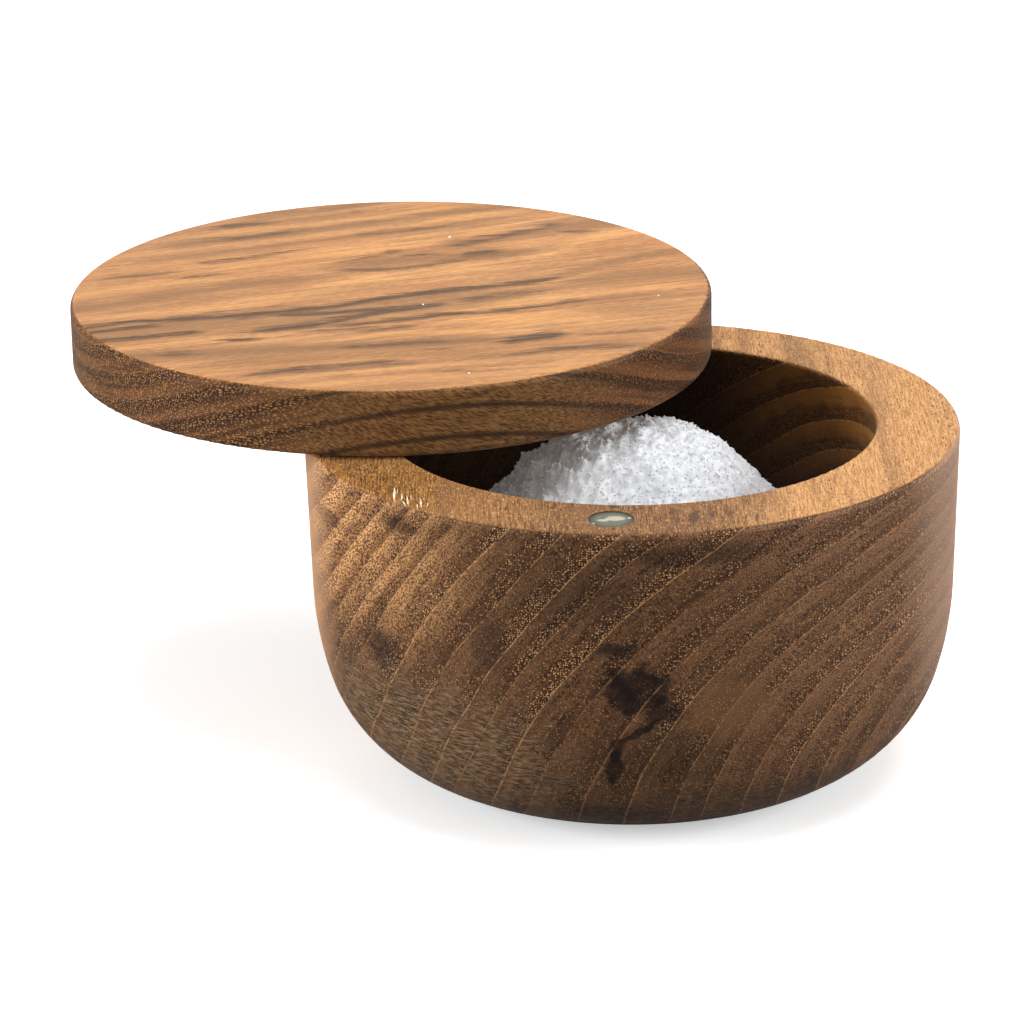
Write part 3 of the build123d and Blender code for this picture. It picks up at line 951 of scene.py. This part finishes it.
def make_nickel():
    """The dull plating of the magnets. The one in the rim has small smears of dried glue and, over its
    middle, a pale patch that is a painted reflection.
    """
    material, bench, shader = new_material("dull_nickel", 0.4, Metallic=1.0)
    position, _ = wood_position(bench)
    scratch = bench.noise(bench.vector("MULTIPLY", position, (0.8, 5.0, 0.8)), detail=3.0)
    cloud = bench.noise(position, 0.8, detail=3.0)
    colour = bench.mix(scratch, plating_dark, plating_light)
    colour = bench.glaze(colour, cloud, 0.4, 0.65, 0.5, tone(120, 122, 104))
    away = bench.vector("DISTANCE", position, magnet_centre)
    # The plating is darker in a ring round the edge of the magnet in the rim
    darker_edge = bench.product(bench.step(away, 2.2, 3.2), bench.step(away, 8.0, 6.0))
    colour = bench.tint(colour, darker_edge, 0.75, plating_edge_tone)
    # Painted reflection and glue: the pale patch over the magnet's middle stands in for a reflection, and
    # the small smears are glue
    smear = bench.most([bench.blot(position, centre, reach, 0.35, 0.7, 0.35)
                        for centre, reach in glue_and_glare_smears])
    colour = bench.mix(bench.product(smear, 0.9), colour,
                       bench.mix(scratch, glue_and_glare_dark, glue_and_glare_light))
    bench.feed(shader.inputs["Base Color"], colour)
    bench.feed(shader.inputs["Metallic"], bench.between(smear, 0.8, 0.0))
    bench.feed(shader.inputs["Roughness"], bench.between(scratch, 0.35, 0.55))
    add_bump(bench, shader, bench.sum(bench.product(scratch, 0.3), smear), 0.00004)
    return material


def make_steel():
    """The ground steel of the pivot pin."""
    material, bench, shader = new_material("ground_steel", 0.3, Metallic=1.0)
    position, _ = wood_position(bench)
    turning = bench.noise(bench.vector("MULTIPLY", position, (0.3, 0.3, 8.0)), detail=3.0)
    bench.feed(shader.inputs["Base Color"], bench.mix(turning, tone(150, 150, 152), tone(196, 196, 198)))
    bench.feed(shader.inputs["Roughness"], bench.between(turning, 0.22, 0.38))
    add_bump(bench, shader, turning, 0.00001)
    return material


def make_epoxy():
    """Cured epoxy, grey-green with trapped wood dust."""
    material, bench, shader = new_material("epoxy", 0.35, Specular_IOR_Level=0.5)
    position, _ = wood_position(bench)
    cloud = bench.noise(position, 1.4, detail=3.0)
    bench.feed(shader.inputs["Base Color"], bench.mix(cloud, tone(30, 31, 24), tone(78, 78, 60)))
    bench.feed(shader.inputs["Roughness"], bench.between(cloud, 0.3, 0.5))
    return material


salt_dull = tone(192, 194, 198)
salt_bright = tone(220, 221, 223)
painted_fill_white = tone(250, 250, 250)


def make_salt():
    """Coarse white salt, with a faint painted glow, and painted fill light on its left side, which lies
    in the lid's shade.
    """
    # The faint white emission is a painted glow: the salt is no lamp
    material, bench, shader = new_material("salt", 0.6, Specular_IOR_Level=0.3,
                                          Emission_Color=(1.0, 1.0, 1.0, 1.0), Emission_Strength=0.05)
    position, _ = wood_position(bench)
    grain = bench.noise(position, 0.8, detail=4.0)
    colour = bench.graded(grain, 0.3, 0.7, salt_dull, salt_bright)
    # Painted fill light: the left side, in the lid's shade, is painted near white
    painted_fill_left = bench.step(bench.apart(position)[0], 2.0, -16.0)
    colour = bench.tint(colour, painted_fill_left, 0.85, painted_fill_white)
    bench.feed(shader.inputs["Base Color"], colour)
    bench.feed(shader.inputs["Roughness"], bench.between(grain, 0.35, 0.55))
    add_bump(bench, shader, grain, 0.00006)
    return material


# ---------------------------------------------------------------- loose pieces

crystal_tips = ((1, 0, 0), (-1, 0, 0), (0, 1, 0), (0, -1, 0), (0, 0, 1), (0, 0, -1))
crystal_sides = ((0, 2, 4), (2, 1, 4), (1, 3, 4), (3, 0, 4), (2, 0, 5), (1, 2, 5), (3, 1, 5),
                 (0, 3, 5))
crystal_tilt = 0.5
crystal_reach = (0.7, 1.2)  # of each tip, as a share of its size


def add_crystal(points, faces, middle, size, upward=Vector((0.0, 0.0, 1.0))):
    """Adds one salt crystal, lying on a slope, tilted and knocked out of shape at random."""
    slope = upward.to_track_quat("Z", "Y").to_matrix()
    turn = Matrix.Rotation(random.uniform(0, math.pi), 3, "Z")
    tilt = slope @ Matrix.Rotation(random.uniform(-crystal_tilt, crystal_tilt), 3, "X") @ turn
    first = len(points)
    for tip in crystal_tips:
        points.append(middle + tilt @ (Vector(tip) * size * random.uniform(*crystal_reach)))
    faces.extend([first + corner for corner in side] for side in crystal_sides)


def place_piece(name, points, faces, material, body, smooth_faces=0):
    """Makes a mesh from points in millimetres and lets it ride on a body.

    The first faces may be smooth; the rest are left flat.
    """
    mesh = bpy.data.meshes.new(name)
    mesh.from_pydata([Vector(point) * MILLIMETRE for point in points], [], faces)
    mesh.materials.append(material)
    for number, face in enumerate(mesh.polygons):
        face.use_smooth = number < smooth_faces
    piece = bpy.data.objects.new(name, mesh)
    bpy.context.scene.collection.objects.link(piece)
    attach(piece, body)
    return piece


# ---------------------------------------------------------------- salt heap

salt_centre_x = 1.5
salt_centre_y = 4.0
salt_profile = ((0.0, 55.4), (6.0, 55.0), (10.0, 54.0), (13.4, 52.2), (16.0, 50.0), (18.2, 47.8),
                (20.0, 45.8), (22.5, 43.0), (28.0, 38.0), (34.0, 34.0), (48.0, 28.0))
salt_drawn_out_left = 0.87
salt_radius = 40.7
salt_pitch = 0.4
crystal_count = 14000
crystal_size = (0.12, 0.22)
crystal_size_loose = 0.14  # more than that, at the most, where the salt lies loose
crystal_bedding = (-0.4, 0.3)
random_seed = 7


def looseness(x):
    """How loosely the salt lies: crumbled on the left, packed on the right."""
    return min(max((10.0 - x) / 20.0, 0.3), 1.0)


def unevenness(x, y, pitch, level):
    """A smooth random height at a place, with so many swells to the millimetre."""
    return noise.noise(Vector((x * pitch, y * pitch, level)))


def salt_height(x, y):
    """The height of the salt at a place in the bowl, in millimetres."""
    aside = x - salt_centre_x
    if aside < 0:
        aside *= salt_drawn_out_left
    away = math.hypot(aside, y - salt_centre_y)
    for (near, high), (far, low) in zip(salt_profile, salt_profile[1:]):
        if away <= far:
            break
    heap = high + (low - high) * (away - near) / (far - near)
    lumps = unevenness(x, y, 0.2, 3.0) * 0.9
    clods = (abs(unevenness(x, y, 0.33, 9.0)) - 0.2) * 2.4
    crumbs = (abs(unevenness(x, y, 0.9, 5.0)) - 0.2) * 1.5
    grains = unevenness(x, y, 1.5, 7.0) * 0.6
    return heap + lumps + (clods + crumbs) * looseness(x) + grains


def make_salt_heap(material):
    """The heap's surface, with crystals bedded all over it."""
    random.seed(random_seed)
    steps = int(salt_radius / salt_pitch)
    points, faces, index = [], [], {}
    for i in range(-steps, steps + 1):
        for j in range(-steps, steps + 1):
            x, y = i * salt_pitch, j * salt_pitch
            if math.hypot(x, y) > salt_radius:
                continue
            index[i, j] = len(points)
            points.append(Vector((x, y, salt_height(x, y))))
    for (i, j), first in index.items():
        around = [index.get(place) for place in ((i, j), (i + 1, j), (i + 1, j + 1), (i, j + 1))]
        if None not in around:
            faces.append(around)
    heap_faces = len(faces)
    for _ in range(crystal_count):
        reach = salt_radius * math.sqrt(random.random()) * 0.98
        turn = random.uniform(0, 2 * math.pi)
        x, y = reach * math.cos(turn), reach * math.sin(turn)
        size = random.uniform(*crystal_size) + crystal_size_loose * random.random() * looseness(x)
        high = salt_height(x, y)
        rise_x = salt_height(x + salt_pitch, y) - high
        rise_y = salt_height(x, y + salt_pitch) - high
        upward = Vector((-rise_x, -rise_y, salt_pitch)).normalized()
        middle = Vector((x, y, high)) + upward * size * random.uniform(*crystal_bedding)
        add_crystal(points, faces, middle, size, upward)
    return place_piece("salt_heap", points, faces, material, "base", heap_faces)


# ---------------------------------------------------------------- torn fibres and stray salt

rim_flat_radius = 54.0
rim_round = 1.0
fibre_lift = 0.16
fibre_sunk = 0.06
fibre_stations = 7
fibre_waver = 0.05
# Each torn fibre on the rim: inner end, outer end and width
torn_fibres = (
    ((-34.7, -36.1), (-33.8, -42.4), 0.62),
    ((-33.15, -38.6), (-32.65, -42.4), 0.42),
    ((-32.2, -39.6), (-31.2, -44.6), 0.44),
    ((-31.6, -39.2), (-31.2, -41.8), 0.26),
    ((-32.5, -42.4), (-31.7, -44.4), 0.34),
    ((-29.8, -40.8), (-29.0, -45.4), 0.4),
    ((-29.95, -43.4), (-29.6, -45.8), 0.24),
    ((-34.1, -37.0), (-33.8, -39.2), 0.22),
    ((-28.4, -42.6), (-28.1, -45.0), 0.2),
)


def rim_surface(x, y):
    """The height of the bowl's rim, which rounds off towards its outer edge."""
    past = max(math.hypot(x, y) - rim_flat_radius, 0.0)
    past = min(past, rim_round * 0.95)
    return rim_height - rim_round + math.sqrt(rim_round ** 2 - past ** 2)


def make_torn_fibre_wood():
    """Pale, freshly torn wood. Its near-white streaks are partly a painted highlight."""
    material, bench, shader = new_material("torn_fibre", 0.6, Specular_IOR_Level=0.3)
    position, _ = wood_position(bench)
    strand = bench.fibres(position, 0.14, 3.0, 2.0)
    # The near-white end of the streaks is partly a painted highlight on the torn wood
    colour = bench.graded(strand, 0.35, 0.6, tone(208, 164, 118), tone(252, 236, 204))
    bench.feed(shader.inputs["Base Color"], colour)
    bench.feed(shader.inputs["Roughness"], bench.between(strand, 0.5, 0.7))
    add_bump(bench, shader, strand, 0.00005)
    return material


def make_rim_fibres(material):
    """Splinters lifted off the rim near its outer edge, each pointed at both ends."""
    random.seed(random_seed)
    points, faces = [], []
    for (inner_x, inner_y), (outer_x, outer_y), width in torn_fibres:
        first = len(points)
        for station in range(fibre_stations):
            share = station / (fibre_stations - 1)
            x = inner_x + (outer_x - inner_x) * share + random.uniform(-fibre_waver, fibre_waver)
            y = inner_y + (outer_y - inner_y) * share
            full = math.sin(math.pi * (0.06 + 0.88 * share))
            half = width / 2 * full * random.uniform(0.8, 1.1)
            surface = rim_surface(x, y)
            points.append((x - half, y, surface - fibre_sunk))
            points.append((x - half * 0.3, y, surface + fibre_lift * full))
            points.append((x + half, y, surface - fibre_sunk))
        for station in range(fibre_stations - 1):
            a = first + 3 * station
            for side in range(3):
                b = (side + 1) % 3
                faces.append((a + side, a + b, a + 3 + b, a + 3 + side))
        faces.append((first + 2, first + 1, first))
        last = first + 3 * (fibre_stations - 1)
        faces.append((last, last + 1, last + 2))
    return place_piece("rim_fibres", points, faces, material, "base")


lid_top = 70.5
# Where grains lie on the lid: along the grain, across it, and their size
stray_grains = ((16.0, -28.5, 0.3), (3.7, 10.5, 0.26), (44.2, 16.0, 0.2), (4.0, 49.5, 0.2))


def make_stray_salt(material):
    """A few grains of salt left on the lid, bedded in its open pores."""
    random.seed(random_seed)
    points, faces = [], []
    turned = Matrix.Rotation(-math.radians(lid_swing), 3, "Z")
    pin = Vector(pin_centre)
    for along, across, size in stray_grains:
        closed = Vector((across, along, lid_top + size * 0.3))
        add_crystal(points, faces, pin + turned @ (closed - pin), size)
    return place_piece("stray_salt", points, faces, material, "cover")


# ---------------------------------------------------------------- surroundings

floor_size = 3.0
floor_glow = 0.42
floor_in_light = tone(150, 150, 150)  # as it throws light back on the box
floor_in_view = tone(250, 250, 250)
sky_light = 0.38
lamp_aim = Vector((0.0, 0.0, 0.04))
# name, place, width and power of each round soft lamp
soft_lamps = (
    ("lamp_above", (0.15, 0.1, 1.1), 1.0, 9.0),
    ("lamp_left", (-0.95, -0.42, 0.3), 0.7, 12.0),
    ("lamp_right", (1.0, -0.1, 0.35), 0.7, 9.5),
)


def make_surroundings():
    """A pale floor, an even white surround and round soft lamps above and to both sides."""
    mesh = bpy.data.meshes.new("floor")
    half = floor_size / 2
    mesh.from_pydata([(-half, -half, 0), (half, -half, 0), (half, half, 0), (-half, half, 0)], [],
                     [(0, 1, 2, 3)])
    floor = bpy.data.objects.new("floor", mesh)
    bpy.context.scene.collection.objects.link(floor)
    material, bench, shader = new_material("pale_floor", 0.9, Specular_IOR_Level=0.0)
    rays = bench.add("LightPath")
    bench.feed(shader.inputs["Base Color"],
               bench.mix(rays.outputs["Is Camera Ray"], floor_in_light, floor_in_view))
    shader.inputs["Emission Color"].default_value = (1.0, 1.0, 1.0, 1.0)
    bench.feed(shader.inputs["Emission Strength"],
               bench.math("MULTIPLY", rays.outputs["Is Camera Ray"], floor_glow))
    mesh.materials.append(material)

    world = bpy.data.worlds.new("surround")
    world.use_nodes = True
    world.node_tree.nodes.clear()
    bench = Bench(world.node_tree)
    rays = bench.add("LightPath")
    seen = bench.math("MAXIMUM", rays.outputs["Is Camera Ray"], rays.outputs["Is Glossy Ray"])
    seen = bench.math("MAXIMUM", seen, rays.outputs["Is Transmission Ray"])
    light = bench.add("Background")
    light.inputs["Color"].default_value = (1.0, 1.0, 1.0, 1.0)
    bench.feed(light.inputs["Strength"], bench.between(seen, sky_light, 1.0))
    result = bench.add("OutputWorld")
    bench.feed(result.inputs["Surface"], light.outputs[0])
    bpy.context.scene.world = world

    for name, place, size, power in soft_lamps:
        data = bpy.data.lights.new(name, "AREA")
        data.shape = "DISK"
        data.size = size
        data.energy = power
        lamp = bpy.data.objects.new(name, data)
        lamp.location = place
        lamp.rotation_mode = "QUATERNION"
        lamp.rotation_quaternion = (lamp.location - lamp_aim).to_track_quat("Z", "Y")
        bpy.context.scene.collection.objects.link(lamp)


# ---------------------------------------------------------------- assembly

def dress(node_name, material):
    """Gives a CAD node its finish."""
    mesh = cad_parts[node_name].data
    mesh.materials.clear()
    mesh.materials.append(material)


make_camera()
make_surroundings()
dress("bowl", make_bowl_wood())
dress("lid", make_lid_wood())
nickel = make_nickel()
epoxy = make_epoxy()
for name in ("bowl_magnet", "lid_magnet"):
    dress(name, nickel)
for name in ("bowl_magnet_glue", "lid_magnet_glue"):
    dress(name, epoxy)
dress("pivot_dowel", make_steel())
salt = make_salt()
make_salt_heap(salt)
make_stray_salt(salt)
rim_fibres = make_rim_fibres(make_torn_fibre_wood())

bpy.context.scene.view_settings.view_transform = "Standard"
